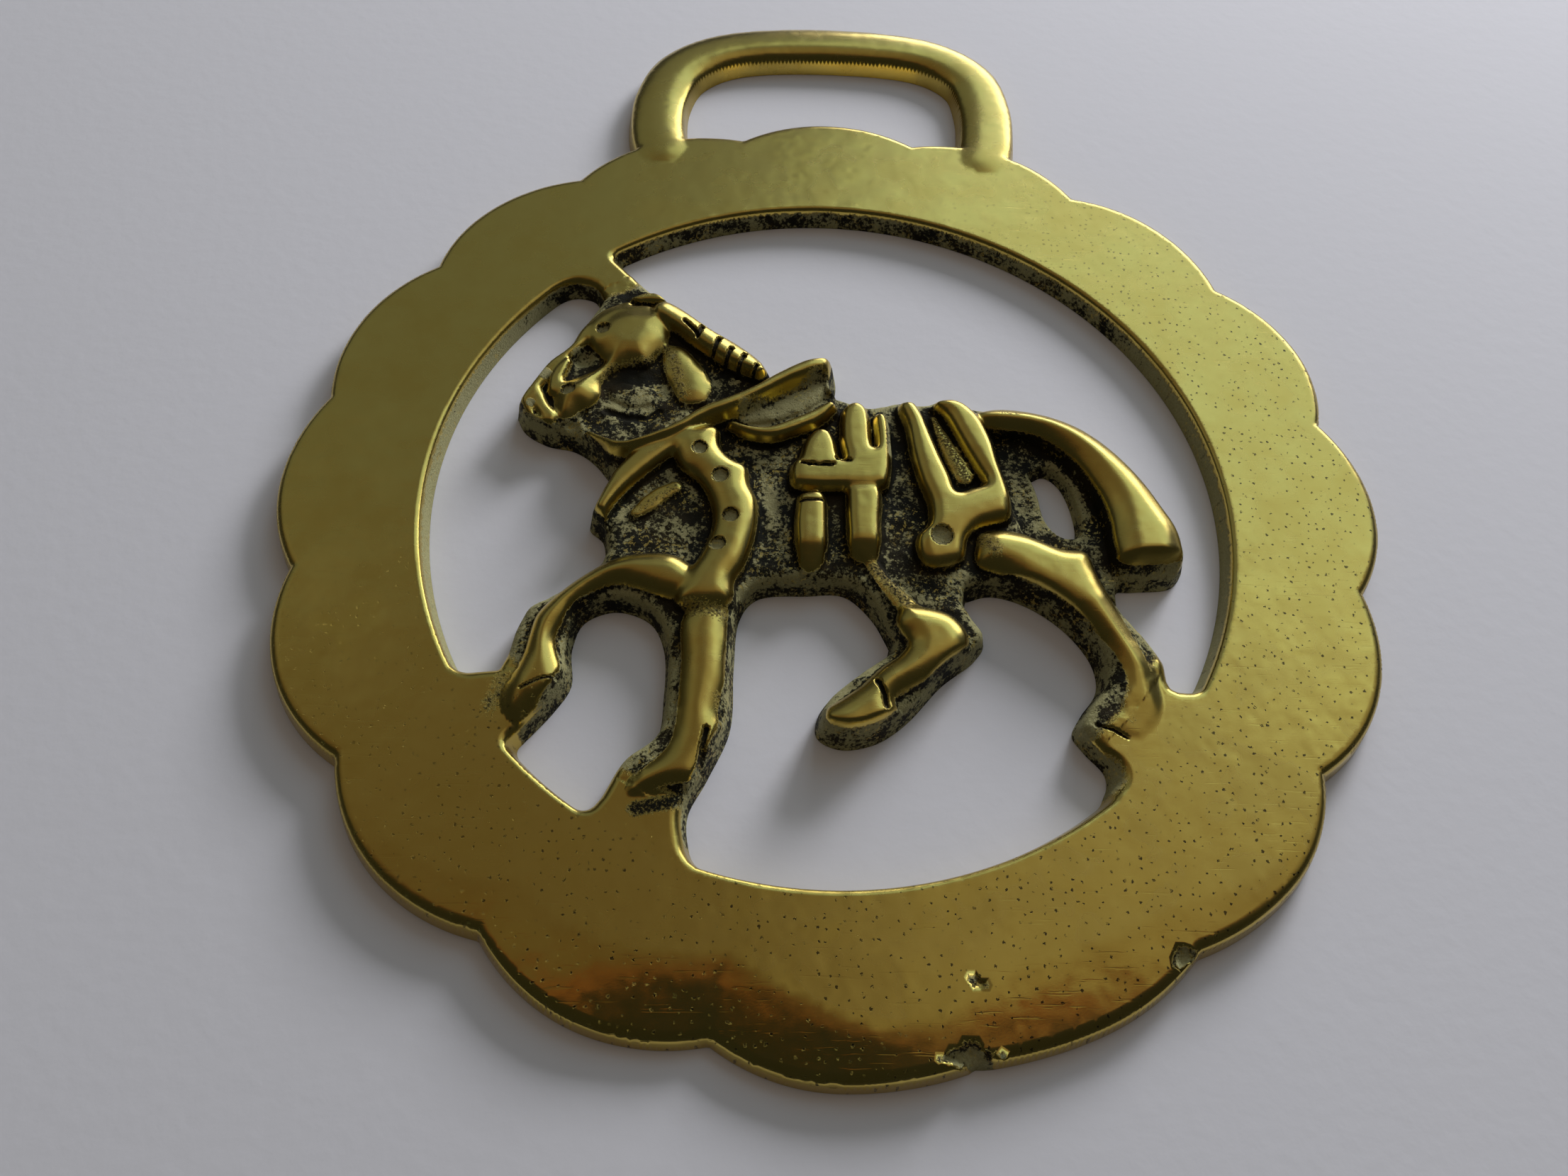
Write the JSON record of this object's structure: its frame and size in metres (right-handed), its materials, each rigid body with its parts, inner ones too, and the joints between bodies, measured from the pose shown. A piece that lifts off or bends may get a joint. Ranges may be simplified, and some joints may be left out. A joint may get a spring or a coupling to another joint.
{
  "type": "horse brass",
  "caption": "Flat brass harness ornament: a scalloped ring with a strap loop and a harnessed horse walking across its opening.",
  "frame": {"origin": "centre of the box round the casting, on its flat back", "axes": "+Z out of the decorated face, +Y towards the strap loop, +X behind the horse, which faces -X"},
  "size_m": [0.0764, 0.0904, 0.0035],
  "materials": {
    "brass": "hand polished with dark tarnish in the recesses"
  },
  "bodies": {
    "root": {"brass_casting": "brass"}
  },
  "joints": []
}
